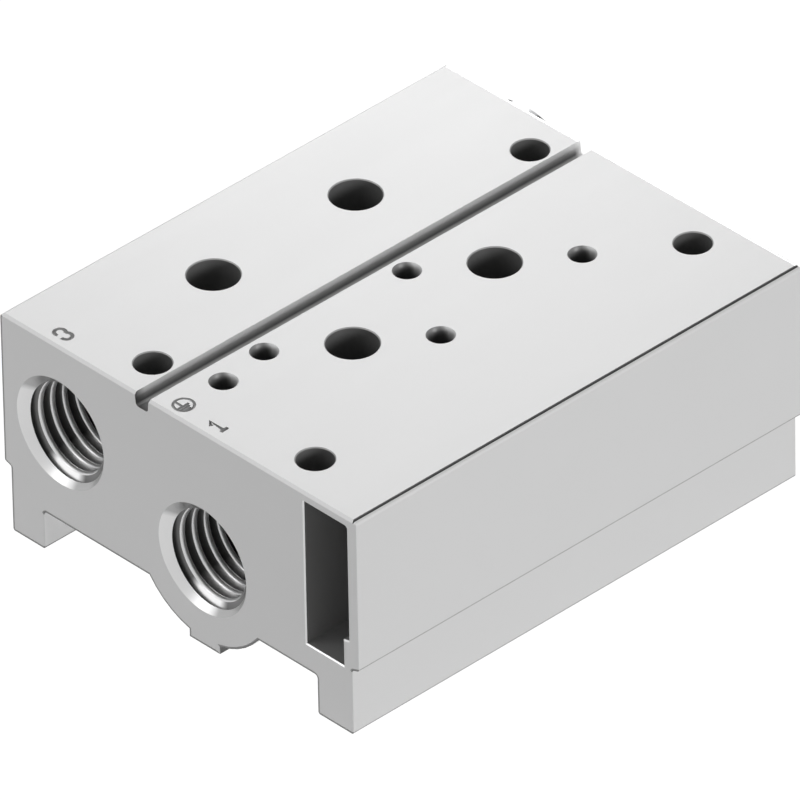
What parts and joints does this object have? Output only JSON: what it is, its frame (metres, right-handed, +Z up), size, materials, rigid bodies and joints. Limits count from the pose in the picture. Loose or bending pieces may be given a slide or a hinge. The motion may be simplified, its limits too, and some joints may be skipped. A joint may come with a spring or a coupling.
{
  "type": "manifold block",
  "caption": "Extruded aluminium manifold block for pneumatic valves, with tapped supply and exhaust ports, a wiring duct and blanking plugs at the rear.",
  "frame": {"origin": "under the axis of port 1's channel, half-way along the block, in the plane that the feet stand on", "axes": "+X across the block towards the wiring duct, +Y along it towards the plugs, +Z up out of the valve face"},
  "size_m": [0.0713, 0.0911, 0.0366],
  "materials": {
    "block": "fine satin, as anodised",
    "plug": "bright plated steel",
    "seal": "matt black"
  },
  "bodies": {
    "root": {"manifold_block": "block", "port_1_plug": "plug", "port_1_seal": "seal", "port_3_plug": "plug", "port_3_seal": "seal"}
  },
  "joints": []
}
